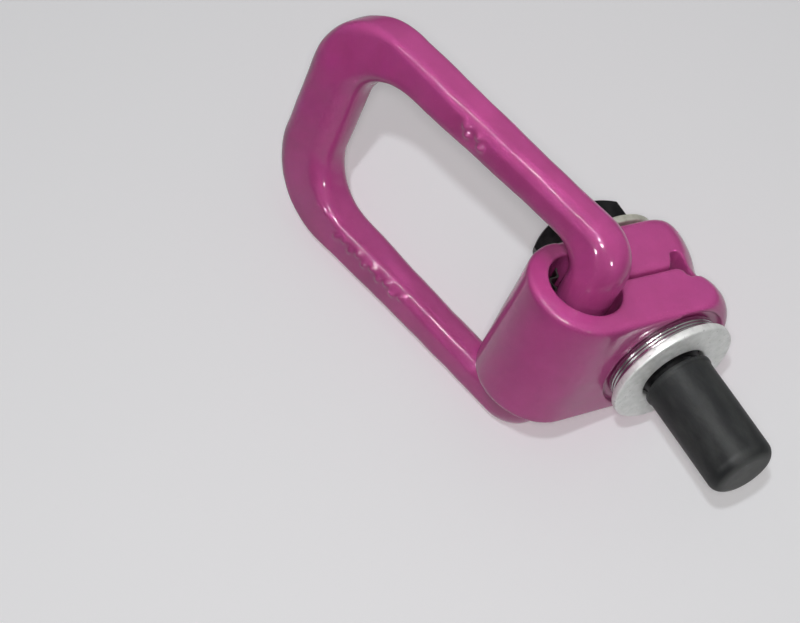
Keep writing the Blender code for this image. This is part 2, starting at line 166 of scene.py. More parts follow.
# One ridge: how far round its pitch, and how far out from the root to the crest.
THREAD_RIDGE = ((0.0, 0.0), (0.30, 0.94), (0.33, 1.0), (0.44, 1.0), (0.47, 0.94), (0.77, 0.0))
HEAD_ACROSS_FLATS = 30.0 * MM
HEAD_HEIGHT = 12.4 * MM
HEAD_LOW_Z = HEAD_WASHER_LOW_Z + HEAD_WASHER_T + GAP
HEAD_FACE_R = HEAD_ACROSS_FLATS / 2 - 1.1 * MM
# The top's chamfer is steeper than the usual 30 degrees.
HEAD_CHAMFER_SLOPE = 1.9 * math.tan(math.radians(30))
HEAD_EDGE_R = 0.35 * MM
GROOVE_R = 9.2 * MM
RETAINER_Z = 4.3 * MM
RETAINER_R = 10.3 * MM
RETAINER_WIRE_R = 0.7 * MM
RETAINER_MOUTH_DEG = 24

# Thread cap.
CAP_MOUTH_Z = -2.1 * MM
CAP_END_Z = -38.6 * MM
CAP_MOUTH_R = 11.3 * MM
CAP_TIP_R = 10.75 * MM
CAP_BORE_R = 10.2 * MM
CAP_CORNER_R = 4.0 * MM
CAP_FLOOR_T = 3.0 * MM
CAP_LIP_HEIGHT = 1.3 * MM
CAP_LIP_STEP = 0.35 * MM
CAP_NECK_HEIGHT = 3.0 * MM

# Clamp spring, a wavy strip in the tunnel.
SPRING_HALF_LENGTH = 19.0 * MM
SPRING_T = 0.7 * MM
SPRING_SWING = 0.9 * MM
SPRING_FROM = math.radians(112)
SPRING_TO = math.radians(265)
SPRING_WAVES = 5
SPRING_STEPS = 120

# Base colours: one paint, and a dark and a pale tone for each plating.
PAINT = (0.39, 0.05, 0.205)
SEAT_ZINC = ((0.80, 0.82, 0.80), (0.94, 0.95, 0.94))
HEAD_ZINC = ((0.50, 0.51, 0.42), (0.62, 0.62, 0.54))


# Mesh helpers.

def place(name, data):
    obj = bpy.data.objects.new(name, data)
    bpy.context.scene.collection.objects.link(obj)
    return obj


def discard(*objects):
    for obj in objects:
        bpy.data.objects.remove(obj, do_unlink=True)


def settled(source, name):
    """A new mesh object with the source's modifiers and place applied. The source is removed."""
    bpy.context.view_layer.update()
    depsgraph = bpy.context.evaluated_depsgraph_get()
    mesh = bpy.data.meshes.new_from_object(source.evaluated_get(depsgraph), depsgraph=depsgraph)
    mesh.transform(source.matrix_world)
    discard(source)
    mesh.name = name
    return place(name, mesh)


def shade(obj, sharp_deg=None):
    obj.data.shade_smooth()
    if sharp_deg:
        obj.data.set_sharp_from_angle(angle=math.radians(sharp_deg))


def arc(cx, cy, radius, start_deg, end_deg, steps):
    """Points along an arc, both ends included."""
    points = []
    for i in range(steps + 1):
        a = math.radians(start_deg + (end_deg - start_deg) * i / steps)
        points.append((cx + radius * math.cos(a), cy + radius * math.sin(a)))
    return points


def rounded(outline, radius, steps=4, closed=True):
    """The outline with each corner turned into a short curve. Corners with no room get a smaller one."""
    points = []
    count = len(outline)
    for i, corner in enumerate(outline):
        if not closed and i in (0, count - 1):
            points.append(corner)
            continue
        here = Vector(corner)
        before = Vector(outline[i - 1]) - here
        after = Vector(outline[(i + 1) % count]) - here
        reach = min(radius, before.length * 0.45, after.length * 0.45)
        start = here + before.normalized() * reach
        end = here + after.normalized() * reach
        for k in range(steps + 1):
            t = k / steps
            points.append(tuple(start * (1 - t) ** 2 + here * 2 * t * (1 - t) + end * t * t))
    return points


def turned(name, profile, closed=True, steps=TURNED_STEPS, sharp_deg=40):
    """A profile of (radius, z) points turned about Z."""
    mesh = bpy.data.meshes.new(name)
    edges = [(i, i + 1) for i in range(len(profile) - 1)]
    if closed:
        edges.append((len(profile) - 1, 0))
    mesh.from_pydata([(r, 0, z) for r, z in profile], edges, [])
    source = place(name + "_profile", mesh)
    screw = source.modifiers.new("turn", "SCREW")
    screw.axis = "Z"
    screw.angle = 2 * math.pi
    screw.steps = steps
    screw.render_steps = steps
    screw.use_merge_vertices = True
    screw.merge_threshold = 0.00001
    obj = settled(source, name)
    shade(obj, sharp_deg)
    return obj


def plate(name, outline, thickness, on_side=False):
    """A flat outline thickened evenly about its plane. On its side its outline is in Y and Z."""
    curve = bpy.data.curves.new(name, "CURVE")
    curve.dimensions = "2D"
    curve.fill_mode = "BOTH"
    curve.extrude = thickness / 2
    spline = curve.splines.new("POLY")
    spline.points.add(len(outline) - 1)
    for point, (x, y) in zip(spline.points, outline):
        point.co = (x, y, 0, 1)
    spline.use_cyclic_u = True
    source = place(name + "_curve", curve)
    if on_side:
        source.rotation_euler = (math.pi / 2, 0, math.pi / 2)
    obj = settled(source, name)
    work = bmesh.new()
    work.from_mesh(obj.data)
    bmesh.ops.remove_doubles(work, verts=work.verts, dist=0.00001)
    bmesh.ops.recalc_face_normals(work, faces=work.faces)
    work.to_mesh(obj.data)
    work.free()
    return obj


def rod(name, radius, depth, centre, segments, along_x=False):
    """A cylinder, or a prism of few segments, along Z or along X."""
    mesh = bpy.data.meshes.new(name)
    work = bmesh.new()
    bmesh.ops.create_cone(work, cap_ends=True, segments=segments, radius1=radius, radius2=radius,
                          depth=depth)
    work.to_mesh(mesh)
    work.free()
    obj = place(name, mesh)
    obj.location = centre
    if along_x:
        obj.rotation_euler = (0, math.pi / 2, 0)
    return obj


def combine(obj, other, operation="DIFFERENCE"):
    modifier = obj.modifiers.new(f"{operation.lower()}_{other.name}", "BOOLEAN")
    modifier.operation = operation
    modifier.solver = "EXACT"
    modifier.object = other


def soften(obj, voxel, rounds):
    """Remesh to even cells and smooth them, as paint over a forging does."""
    remesh = obj.modifiers.new("cells", "REMESH")
    remesh.mode = "VOXEL"
    remesh.voxel_size = voxel
    smooth = obj.modifiers.new("soft", "SMOOTH")
    smooth.factor = 0.5
    smooth.iterations = rounds


def join(name, objects):
    work = bmesh.new()
    for obj in objects:
        work.from_mesh(obj.data)
    mesh = bpy.data.meshes.new(name)
    work.to_mesh(mesh)
    work.free()
    discard(*objects)
    return place(name, mesh)


def reshape(obj, offset):
    """Move each vertex by offset(place, normal)."""
    mesh = obj.data
    moved = [v.co + offset(v.co, v.normal) for v in mesh.vertices]
    for vertex, co in zip(mesh.vertices, moved):
        vertex.co = co
    mesh.update()


def uneven(place_in_space, feature, amount, seed):
    """Smooth noise with features of about that size, between -amount and amount."""
    return amount * noise.noise(place_in_space / feature + Vector((seed, 2 * seed, 3 * seed)))


def finish_piece(obj, body, node, material):
    """Give a piece its material, the body that it moves with and the CAD node that it stands for."""
    obj.data.materials.clear()
    obj.data.materials.append(material)
    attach(obj, body)
    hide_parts(node)
    return obj


# Link.

def link_corner(outer, outer_r, inner, inner_r, start_deg, steps):
    out = arc(*outer, outer_r, start_deg, start_deg + 90, steps)
    inside = arc(*inner, inner_r, start_deg, start_deg + 90, steps)
    return list(zip(out, inside))


def link_stations():
    """(outer point, inner point, half depth, edge radius) from the middle of the foot to the crown's."""
    foot_u = LINK_HALF_SPACING
    crown_u = LINK_HALF_SPACING + LINK_CROWN_SPREAD
    foot = link_corner(
        (foot_u + LINK_LEG_HALF - LINK_FOOT_OUTER_R, LINK_FOOT_OUTER_R - LINK_FOOT_R),
        LINK_FOOT_OUTER_R,
        (foot_u - LINK_LEG_HALF - LINK_FOOT_INNER_R, LINK_FOOT_R + LINK_FOOT_INNER_R),
        LINK_FOOT_INNER_R,
        -90,
        LINK_FOOT_STEPS,
    )
    crown_out_v = LINK_LENGTH + LINK_CROWN_HALF_WIDTH
    crown_in_v = LINK_LENGTH - LINK_CROWN_HALF_WIDTH
    crown = link_corner(
        (crown_u + LINK_LEG_HALF - LINK_CROWN_OUTER_R, crown_out_v - LINK_CROWN_OUTER_R),
        LINK_CROWN_OUTER_R,
        (crown_u - LINK_LEG_HALF - LINK_CROWN_INNER_R, crown_in_v - LINK_CROWN_INNER_R),
        LINK_CROWN_INNER_R,
        0,
        LINK_CROWN_STEPS,
    )
    stations = [((0, -LINK_FOOT_R), (0, LINK_FOOT_R), LINK_FOOT_R, LINK_FOOT_R)]
    for step, (out, inside) in enumerate(foot):
        share = eased(step / LINK_FOOT_STEPS)
        depth = LINK_FOOT_R + (LINK_LEG_HALF - LINK_FOOT_R) * share
        stations.append((out, inside, depth, LINK_FOOT_R + (LINK_LEG_FOOT_EDGE_R - LINK_FOOT_R) * share))
    for step, (out, inside) in enumerate(crown):
        share = eased(step / LINK_CROWN_STEPS)
        depth = LINK_LEG_HALF + (LINK_CROWN_HALF_DEPTH - LINK_LEG_HALF) * share
        edge = LINK_LEG_EDGE_R + (LINK_CROWN_EDGE_R - LINK_LEG_EDGE_R) * share
        stations.append((out, inside, depth, edge))
    stations.append(((0, crown_out_v), (0, crown_in_v), LINK_CROWN_HALF_DEPTH, LINK_CROWN_EDGE_R))
    return stations


def eased(t):
    return t * t * (3 - 2 * t)


def close_stations(stations):
    """The same stations with more between them, so that none is far from the next."""
    filled = [stations[0]]
    for here, there in zip(stations, stations[1:]):
        mid_here = (Vector(here[0]) + Vector(here[1])) / 2
        mid_there = (Vector(there[0]) + Vector(there[1])) / 2
        parts = max(1, math.ceil((mid_there - mid_here).length / LINK_STATION))
        for k in range(1, parts + 1):
            t = k / parts
            outer = Vector(here[0]).lerp(Vector(there[0]), t)
            inner = Vector(here[1]).lerp(Vector(there[1]), t)
            filled.append((outer, inner, here[2] + (there[2] - here[2]) * t,
                           here[3] + (there[3] - here[3]) * t))
    return filled


def section_turns():
    """Angles round a section, close together where its flats are."""
    turns = []
    for quarter in range(4):
        middle = 90 * quarter
        for k in range(FLAT_STEPS):
            turns.append(middle - FLAT_HALF_DEG + 2 * FLAT_HALF_DEG * k / FLAT_STEPS)
        for k in range(EDGE_STEPS):
            turns.append(middle + FLAT_HALF_DEG + (90 - 2 * FLAT_HALF_DEG) * k / EDGE_STEPS)
    return [math.radians(t) for t in turns]


def section_point(half_width, half_depth, edge_r, turn):
    """A point on a rectangle with rounded edges and slightly bowed flats."""
    edge_r = min(edge_r, half_width, half_depth)
    steep = 1 / math.sin(math.radians(FLAT_HALF_DEG))
    across = max(-1.0, min(1.0, math.cos(turn) * steep))
    through = max(-1.0, min(1.0, math.sin(turn) * steep))
    w = (half_width - edge_r) * across + edge_r * math.cos(turn)
    d = (half_depth - edge_r) * through + edge_r * math.sin(turn)
    return w, d


def link_surface(co, normal):
    """Hammer marks, paint and pips on the link. The foot bar that turns in the tunnel is smoother."""
    in_link = Matrix.Rotation(-LINK_TILT, 4, "X") @ (co - LINK_PIVOT)
    on_legs = eased(max(0.0, min(1.0, in_link.z / (20 * MM))))
    rough = uneven(co, 12 * MM, 0.20 * MM, 1) + uneven(co, 5 * MM, 0.08 * MM, 2)
    rough += uneven(co, 2.6 * MM, 0.02 * MM, 6) - 0.17 * MM
    height = rough * (0.15 + 0.85 * on_legs)
    if in_link.y < 0:
        for across, along in NEAR_PIPS + FAR_PIPS:
            away = (in_link.x - across * MM) ** 2 + (in_link.z - along * MM) ** 2
            height += PIP_HEIGHT * math.exp(-away / (2 * PIP_SIZE ** 2))
    return normal * height


def build_link(material):
    half = close_stations(link_stations())
    mirrored = [((-o[0], o[1]), (-i[0], i[1]), d, e) for o, i, d, e in reversed(half[1:-1])]
    turns = section_turns()
    work = bmesh.new()
    loops = []
    for outer, inner, depth, edge_r in half + mirrored:
        mid = (Vector(outer) + Vector(inner)) / 2
        arm = (Vector(outer) - Vector(inner)) / 2
        loop = []
        for turn in turns:
            w, d = section_point(arm.length, depth, edge_r, turn)
            at = mid + arm * (w / arm.length)
            loop.append(work.verts.new((at.x, -d, at.y)))
        loops.append(loop)
    for here, there in zip(loops, loops[1:] + loops[:1]):
        for s in range(len(turns)):
            t = (s + 1) % len(turns)
            work.faces.new((here[s], there[s], there[t], here[t]))
    mesh = bpy.data.meshes.new("link_forging")
    work.to_mesh(mesh)
    work.free()
    mesh.transform(Matrix.Translation(LINK_PIVOT) @ Matrix.Rotation(LINK_TILT, 4, "X"))
    link = place("link_forging", mesh)
    reshape(link, link_surface)
    shade(link)
    return finish_piece(link, "load_link", "link", material)


# Body.

def strap_outline(lift):
    """The folded strap from the side as Y and Z, with its top raised by lift."""
    beyond = 30 * MM
    top = BODY_TOP_Z + lift
    outline = [(beyond, BODY_UNDERSIDE_Z), (beyond, top), (STRAP_FLAT_FROM_Y, top)]
    return outline + arc(BARREL_Y, BARREL_Z, BARREL_R, 86, 270, 60)


def strap(name, rounds, lift=0.0, low_outline=None):
    """A whole strap with its round end, softened. It keeps what is above low_outline, if given."""
    end_parts = [(r * MM, z * MM + (lift if z > WAIST_Z_MM else 0)) for r, z in ROUND_END]
    lobes = turned(name + "_lobes", end_parts, closed=False)
    width = 2 * BODY_HALF_WIDTH
    corners = [(-width, 0), (width, 0), (width, -60 * MM), (-width, -60 * MM)]
    back = plate(name + "_back", corners, 200 * MM)
    combine(lobes, back, "UNION")
    piece = plate(name, strap_outline(lift), width, on_side=True)
    combine(piece, lobes, "INTERSECT")
    helpers = [lobes, back]
    if low_outline:
        keep = plate(name + "_keep", low_outline, 3 * width, on_side=True)
        combine(piece, keep, "INTERSECT")
        helpers.append(keep)
    soften(piece, LEG_VOXEL, rounds)
    piece = settled(piece, name + "_soft")
    discard(*helpers)
    return piece


def upper_region():
    """All that is above the slit and the hooked nose, as Y and Z."""
    far = 80 * MM
    low = SLIT_TOP_Z + SLIT_CLOSING
    nose = NOSE_Z + SLIT_CLOSING
    outline = [(far, nose), (far, far), (-far, far), (-far, BARREL_Z), (TUNNEL_Y, BARREL_Z)]
    return outline + [(TUNNEL_Y, low), (8 * MM, low), (12.2 * MM, nose + MM), (13.4 * MM, nose)]


def pocket_outline():
    """The pocket behind the nose, as Y and Z."""
    low = SLIT_TOP_Z + SLIT_CLOSING - 6 * MM
    high = POCKET_Z + SLIT_CLOSING
    return [(3.8 * MM, low), (3.8 * MM, SLIT_TOP_Z + SLIT_CLOSING), (6.8 * MM, high),
            (10.2 * MM, high), (12.2 * MM, NOSE_Z + SLIT_CLOSING + MM), (11.0 * MM, low)]


def above_lower_leg():
    """All that is above the lower leg and in front of the barrel's far wall, as Y and Z."""
    far = 80 * MM
    outline = [(TUNNEL_Y, far), (TUNNEL_Y, SLIT_LOW_Z), (5.0 * MM, SLIT_LOW_Z)]
    outline += [(6.7 * MM, SLIT_LOW_Z - MM), (7.6 * MM, SLIT_LOW_Z - 2.6 * MM), (8.0 * MM, SHOULDER_Z)]
    return outline + [(far, SHOULDER_Z), (far, far)]


def close_slit(co, normal):
    """Bend the upper leg down about the barrel until the slit has its true width."""
    share = eased(max(0.0, min(1.0, (co.y - BEND_FROM_Y) / (BEND_TO_Y - BEND_FROM_Y))))
    middle = (SLIT_LOW_Z + SLIT_TOP_Z + SLIT_CLOSING) / 2
    over_nose = co.y > 7 * MM
    level = (SHOULDER_Z + NOSE_Z + SLIT_CLOSING) / 2 if over_nose else middle
    if co.z < level:
        return Vector((0, 0, 0))
    return Vector((0, 0, -SLIT_CLOSING * share))


def body_surface(co, normal):
    rough = uneven(co, 12 * MM, 0.10 * MM, 3) + uneven(co, 4 * MM, 0.03 * MM, 4)
    return normal * (rough - 0.08 * MM)


def build_body(material):
    """A rounded upper leg and a crisp lower leg with the barrel, bored and skinned as one."""
    upper = strap("upper_leg", UPPER_LEG_SMOOTHING, SLIT_CLOSING, upper_region())
    lower = strap("lower_leg", LOWER_LEG_SMOOTHING)
    pocket = plate("pocket", pocket_outline(), 80 * MM, on_side=True)
    above = plate("above_lower_leg", above_lower_leg(), 80 * MM, on_side=True)
    combine(upper, pocket)
    combine(lower, above)
    spot_depth = BODY_UNDERSIDE_Z + SPOT_FACE_DEPTH
    cutters = [
        rod("tunnel", TUNNEL_R, 80 * MM, (0, TUNNEL_Y, TUNNEL_Z), 96, along_x=True),
        rod("leg_bore", BUSH_SLEEVE_R + GAP, 120 * MM, (0, 0, 0), 96),
        rod("spot_face", SPOT_FACE_R, spot_depth, (0, 0, spot_depth / 2), 96),
    ]
    legs = []
    for leg in (upper, lower):
        for cutter in cutters:
            combine(leg, cutter)
        legs.append(settled(leg, leg.name + "_cut"))
    discard(pocket, above, *cutters)
    body = join("body_joined", legs)
    soften(body, BODY_VOXEL, BODY_SMOOTHING)
    body = settled(body, "body_forging")
    reshape(body, close_slit)
    reshape(body, body_surface)
    shade(body)
    return finish_piece(body, "swivel_body", "body", material)


# Spring, washers and bush.

def build_spring(material):
    """A wavy strip that follows the gap between the foot bar and the tunnel wall."""
    dy = TUNNEL_Y - LINK_PIVOT.y
    dz = TUNNEL_Z - LINK_PIVOT.z
    inner, outer = [], []
    for i in range(SPRING_STEPS + 1):
        part = i / SPRING_STEPS
        a = SPRING_FROM + (SPRING_TO - SPRING_FROM) * part
        c, s = math.cos(a), math.sin(a)
        along = dy * c + dz * s
        wall = along + math.sqrt(TUNNEL_R**2 - (dy**2 + dz**2 - along**2))
        room = (wall - LINK_FOOT_R) / 2 - SPRING_T / 2 - GAP
        wave = math.cos(2 * math.pi * SPRING_WAVES * part)
        r = (LINK_FOOT_R + wall) / 2 + min(SPRING_SWING, room) * wave
        near, far = r - SPRING_T / 2, r + SPRING_T / 2
        inner.append((LINK_PIVOT.y + near * c, LINK_PIVOT.z + near * s))
        outer.append((LINK_PIVOT.y + far * c, LINK_PIVOT.z + far * s))
    outline = outer + list(reversed(inner))
    spring = plate("wavy_clamp_spring", outline, 2 * SPRING_HALF_LENGTH, on_side=True)
    shade(spring, 40)
    return finish_piece(spring, "swivel_body", "clamp_spring", material)


def build_washer(name, node, radius, low, thickness, material):
    """A punched washer with its edges rounded."""
    high = low + thickness
    corners = [(WASHER_BORE_R, low), (WASHER_BORE_R, high), (radius, high), (radius, low)]
    washer = turned(name, rounded(corners, 0.7 * MM))
    return finish_piece(washer, "clamp_stack", node, material)


def build_bush(material):
    """A flanged sleeve with a relief under the flange for the retaining ring."""
    low = SEAT_WASHER_T + GAP
    flange_top = BODY_UNDERSIDE_Z + SPOT_FACE_DEPTH - GAP
    top = HEAD_WASHER_LOW_Z - GAP
    relief_z = RETAINER_Z + RETAINER_WIRE_R + 0.7 * MM
    relief_r = RETAINER_R + RETAINER_WIRE_R + 0.6 * MM
    corners = [(BUSH_BORE_R, top), (BUSH_SLEEVE_R, top), (BUSH_SLEEVE_R, flange_top)]
    corners += [(BUSH_FLANGE_R, flange_top)]
    for groove_z in BUSH_GROOVES:
        corners += [(BUSH_FLANGE_R, groove_z + 0.3 * MM), (BUSH_FLANGE_R - 0.25 * MM, groove_z)]
        corners += [(BUSH_FLANGE_R, groove_z - 0.3 * MM)]
    corners += [(BUSH_FLANGE_R, low), (relief_r, low)]
    corners += [(relief_r, relief_z), (BUSH_BORE_R, relief_z)]
    bush = turned("flanged_swivel_bush", rounded(corners, 0.5 * MM))
    return finish_piece(bush, "clamp_stack", "flanged_bush", material)


# Bolt, retaining ring and cap.

def thread_column():
    """(depth in pitches, radius) down one side of the thread, one ridge for each turn."""
    depth = THREAD_R - THREAD_ROOT_R
    column = []
    for turn in range(THREAD_TURNS):
        column += [(turn + phase, THREAD_ROOT_R + depth * height) for phase, height in THREAD_RIDGE]
    return column + [(THREAD_TURNS, THREAD_ROOT_R)]


def threaded_shank():
    """The shank as one skin: plain rings, then columns that drop one pitch in each turn."""
    work = bmesh.new()
    per_turn = len(THREAD_RIDGE)

    def vert(radius, z, i):
        a = 2 * math.pi * i / THREAD_STEPS
        return work.verts.new((radius * math.cos(a), radius * math.sin(a), z))

    def ring(radius, z):
        return [vert(radius, z, i) for i in range(THREAD_STEPS)]

    def band(above, below):
        for i in range(THREAD_STEPS):
            j = (i + 1) % THREAD_STEPS
            work.faces.new((above[i], below[i], below[j], above[j]))

    groove_low = RETAINER_Z - RETAINER_WIRE_R - GAP
    groove_high = RETAINER_Z + RETAINER_WIRE_R + GAP
    plain = [(THREAD_R, HEAD_LOW_Z + 4 * MM), (THREAD_R, groove_high), (GROOVE_R, groove_high),
             (GROOVE_R, groove_low), (THREAD_R, groove_low), (THREAD_R, THREAD_TOP_Z + 1.2 * MM),
             (THREAD_ROOT_R, THREAD_TOP_Z + 0.2 * MM)]
    rings = [ring(r, z) for r, z in plain]
    for above, below in zip(rings, rings[1:]):
        band(above, below)

    column = thread_column()
    columns = []
    for i in range(THREAD_STEPS):
        drop = i / THREAD_STEPS
        columns.append([vert(r, THREAD_TOP_Z - THREAD_PITCH * (d + drop), i) for d, r in column])
    tail_z = THREAD_TOP_Z - THREAD_PITCH * (THREAD_TURNS + 1) - 0.2 * MM
    foot = ring(THREAD_ROOT_R, tail_z)
    tip = ring(THREAD_ROOT_R - MM, tail_z - 0.8 * MM)
    band(foot, tip)
    work.faces.new(rings[0])
    work.faces.new(list(reversed(tip)))

    head = rings[-1]
    for i in range(THREAD_STEPS - 1):
        here, there = columns[i], columns[i + 1]
        work.faces.new((head[i], here[0], there[0], head[i + 1]))
        for k in range(len(column) - 1):
            work.faces.new((here[k], here[k + 1], there[k + 1], there[k]))
        work.faces.new((here[-1], foot[i], foot[i + 1], there[-1]))
    here, there = columns[-1], columns[0]
    work.faces.new([head[-1], here[0]] + there[per_turn::-1] + [head[0]])
    for k in range(len(column) - 1 - per_turn):
        work.faces.new((here[k], here[k + 1], there[k + 1 + per_turn], there[k + per_turn]))
    work.faces.new(here[-1 - per_turn:] + [foot[-1], foot[0], there[-1]])

    mesh = bpy.data.meshes.new("shank")
    work.to_mesh(mesh)
    work.free()
    return place("shank", mesh)


def build_bolt(material):
    """The shank joined to a hexagon head with a chamfered top and a washer face."""
    top = HEAD_LOW_Z + HEAD_HEIGHT
    corner = HEAD_ACROSS_FLATS / 2 / math.cos(math.radians(30))
    hexagon = rod("hexagon", corner, HEAD_HEIGHT, (0, 0, (HEAD_LOW_Z + top) / 2), 6)
    chamfer_z = top - (corner - HEAD_FACE_R) * HEAD_CHAMFER_SLOPE
    wide = corner + MM
    profile = [(0, top + MM), (HEAD_FACE_R, top + MM), (HEAD_FACE_R, top), (wide, chamfer_z)]
    profile += [(wide, HEAD_LOW_Z + 0.6 * MM), (HEAD_FACE_R, HEAD_LOW_Z + 0.4 * MM)]
    profile += [(HEAD_FACE_R, HEAD_LOW_Z - MM), (0, HEAD_LOW_Z - MM)]
    limits = turned("head_chamfer", profile, closed=False)
    combine(hexagon, limits, "INTERSECT")
    head = settled(hexagon, "head")
    discard(limits)
    edges = head.modifiers.new("rounded_edges", "BEVEL")
    edges.width = HEAD_EDGE_R
    edges.segments = 3
    edges.limit_method = "ANGLE"
    edges.angle_limit = math.radians(25)
    bolt = join("hexagon_bolt", [threaded_shank(), settled(head, "head")])
    shade(bolt, 38)
    return finish_piece(bolt, "bolt", "bolt", material)


def build_retainer(material):
    """A split ring of round wire in the shank's groove."""
    curve = bpy.data.curves.new("retainer", "CURVE")
    curve.dimensions = "3D"
    curve.bevel_depth = RETAINER_WIRE_R
    curve.bevel_resolution = 4
    curve.use_fill_caps = True
    half = RETAINER_MOUTH_DEG / 2
    points = arc(0, 0, RETAINER_R, half, 360 - half, 96)
    spline = curve.splines.new("POLY")
    spline.points.add(len(points) - 1)
    for point, (x, y) in zip(spline.points, points):
        point.co = (x, y, RETAINER_Z, 1)
    ring = settled(place("retainer_curve", curve), "split_ring")
    shade(ring, 40)
    return finish_piece(ring, "bolt", "retaining_ring", material)


def cap_surface(co, normal):
    """The cap is soft, so its outside isn't quite round."""
    radius = math.hypot(co.x, co.y)
    if radius < CAP_BORE_R + 0.2 * MM and co.z > CAP_END_Z + CAP_CORNER_R:
        return Vector((0, 0, 0))
    return normal * (uneven(co, 16 * MM, 0.08 * MM, 5) - 0.06 * MM)


def build_cap(material):
    """A soft cup: floor and bore inside, then a thick lip, the tapering side and a round end."""
    lip_z = CAP_MOUTH_Z - CAP_LIP_HEIGHT
    neck_r = CAP_MOUTH_R - CAP_LIP_STEP
    side_r = neck_r - 0.05 * MM
    start_z = lip_z - CAP_NECK_HEIGHT
    mouth = [(CAP_BORE_R, CAP_MOUTH_Z), (CAP_MOUTH_R, CAP_MOUTH_Z), (CAP_MOUTH_R, lip_z),
             (neck_r, lip_z - 0.5 * MM), (side_r, start_z)]
    profile = [(0, CAP_END_Z + CAP_FLOOR_T), (CAP_BORE_R, CAP_END_Z + CAP_FLOOR_T)]
    profile += rounded([profile[-1]] + mouth, 0.35 * MM, closed=False)[1:]
    tip_r = CAP_TIP_R - CAP_CORNER_R
    end_z = CAP_END_Z + CAP_CORNER_R
    for k in range(1, 20):
        t = k / 20
        profile.append((side_r + (CAP_TIP_R - side_r) * t, start_z + (end_z - start_z) * t))
    profile += arc(tip_r, end_z, CAP_CORNER_R, 0, -90, 14)
    profile += [(tip_r * (1 - k / 6), CAP_END_Z) for k in range(1, 7)]
    cap = turned("soft_thread_cap", profile, closed=False)
    reshape(cap, cap_surface)
    shade(cap, 50)
    return finish_piece(cap, "cap", "thread_cap", material)


# Materials.

def map_range(tree, value, low, high, to_low, to_high):
    node = tree.nodes.new("ShaderNodeMapRange")
    ends = {"From Min": low, "From Max": high, "To Min": to_low, "To Max": to_high}
    for name, number in ends.items():
        node.inputs[name].default_value = number
    tree.links.new(value, node.inputs["Value"])
    return node.outputs["Result"]


class Look:
    """A node material under construction, with short names for the nodes that the looks share."""

    def __init__(self, name):
        self.material = bpy.data.materials.new(name)
        self.material.use_nodes = True
        self.tree = self.material.node_tree
        self.shader = self.tree.nodes["Principled BSDF"]
        self.place = self.tree.nodes.new("ShaderNodeTexCoord").outputs["Object"]

    def set(self, **sockets):
        for name, value in sockets.items():
            self.shader.inputs[name.replace("_", " ")].default_value = value

    def link(self, output, socket):
        self.tree.links.new(output, self.shader.inputs[socket])

    def stretched(self, scale):
        node = self.tree.nodes.new("ShaderNodeMapping")
        node.inputs["Scale"].default_value = scale
        self.tree.links.new(self.place, node.inputs["Vector"])
        return node.outputs["Vector"]

    def noise(self, feature, detail=2.0, roughness=0.5, coords=None):
        """Noise with features of about that size."""
        node = self.tree.nodes.new("ShaderNodeTexNoise")
        node.inputs["Scale"].default_value = 1 / feature
        node.inputs["Detail"].default_value = detail
        node.inputs["Roughness"].default_value = roughness
        self.tree.links.new(coords or self.place, node.inputs["Vector"])
        return node.outputs["Fac"]

    def height(self):
        """How far up the object a point is."""
        node = self.tree.nodes.new("ShaderNodeSeparateXYZ")
        self.tree.links.new(self.place, node.inputs["Vector"])
        return node.outputs["Z"]

    def length(self):
        """Distance from the middle of the object."""
        node = self.tree.nodes.new("ShaderNodeVectorMath")
        node.operation = "LENGTH"
        self.tree.links.new(self.place, node.inputs[0])
        return node.outputs["Value"]

    def remap(self, value, low, high, to_low, to_high):
        return map_range(self.tree, value, low, high, to_low, to_high)

    def blend(self, share, first, second):
        node = self.tree.nodes.new("ShaderNodeMix")
        node.data_type = "RGBA"
        self.tree.links.new(share, node.inputs["Factor"])
        for socket, colour in ((node.inputs[6], first), (node.inputs[7], second)):
            if isinstance(colour, tuple):
                socket.default_value = (*colour, 1.0)
            else:
                self.tree.links.new(colour, socket)
        return node.outputs[2]

    def bump(self, height, distance, strength=1.0, below=None):
        node = self.tree.nodes.new("ShaderNodeBump")
        node.inputs["Distance"].default_value = distance
        node.inputs["Strength"].default_value = strength
        self.tree.links.new(height, node.inputs["Height"])
        if below:
            self.tree.links.new(below, node.inputs["Normal"])
        return node.outputs["Normal"]


def paint_look(name, seed_colour):
    """Glossy magenta powder coat with orange peel and a little dust."""
    look = Look(name)
    look.set(Coat_Weight=1.0, Coat_Roughness=0.05, Coat_IOR=1.5, Specular_IOR_Level=0.15)
    patches = look.noise(9 * MM, detail=3)
    deep = tuple(c * 0.9 for c in seed_colour)
    dusty = tuple(min(1, c * 1.3 + 0.02) for c in seed_colour)
    colour = look.blend(look.remap(patches, 0.35, 0.65, 0, 1), deep, seed_colour)
    specks = look.remap(look.noise(0.5 * MM, detail=1), 0.72, 0.80, 0, 0.5)
    look.link(look.blend(specks, colour, dusty), "Base Color")
    look.link(look.remap(patches, 0.3, 0.7, 0.32, 0.42), "Roughness")
    peel = look.bump(look.noise(2.2 * MM, detail=2), 0.02 * MM)
    fine = look.bump(look.noise(0.7 * MM, detail=1), 0.004 * MM, below=peel)
    look.link(fine, "Normal")
    look.link(fine, "Coat Normal")
    return look.material


def zinc_look(name, dark, pale):
    """Dull zinc plate with a faint crystalline mottle and a few dark specks."""
    look = Look(name)
    look.set(Metallic=0.55)
    mottle = look.noise(2.5 * MM, detail=4, roughness=0.6)
    plated = look.blend(look.remap(mottle, 0.35, 0.65, 0, 1), dark, pale)
    specks = look.remap(look.noise(1.1 * MM, detail=2), 0.66, 0.72, 0, 0.5)
    look.link(look.blend(specks, plated, tuple(c * 0.45 for c in dark)), "Base Color")
    look.link(look.remap(mottle, 0.3, 0.7, 0.45, 0.6), "Roughness")
    grain = look.noise(0.35 * MM, detail=3)
    look.link(look.bump(grain, 0.01 * MM), "Normal")
    return look.material


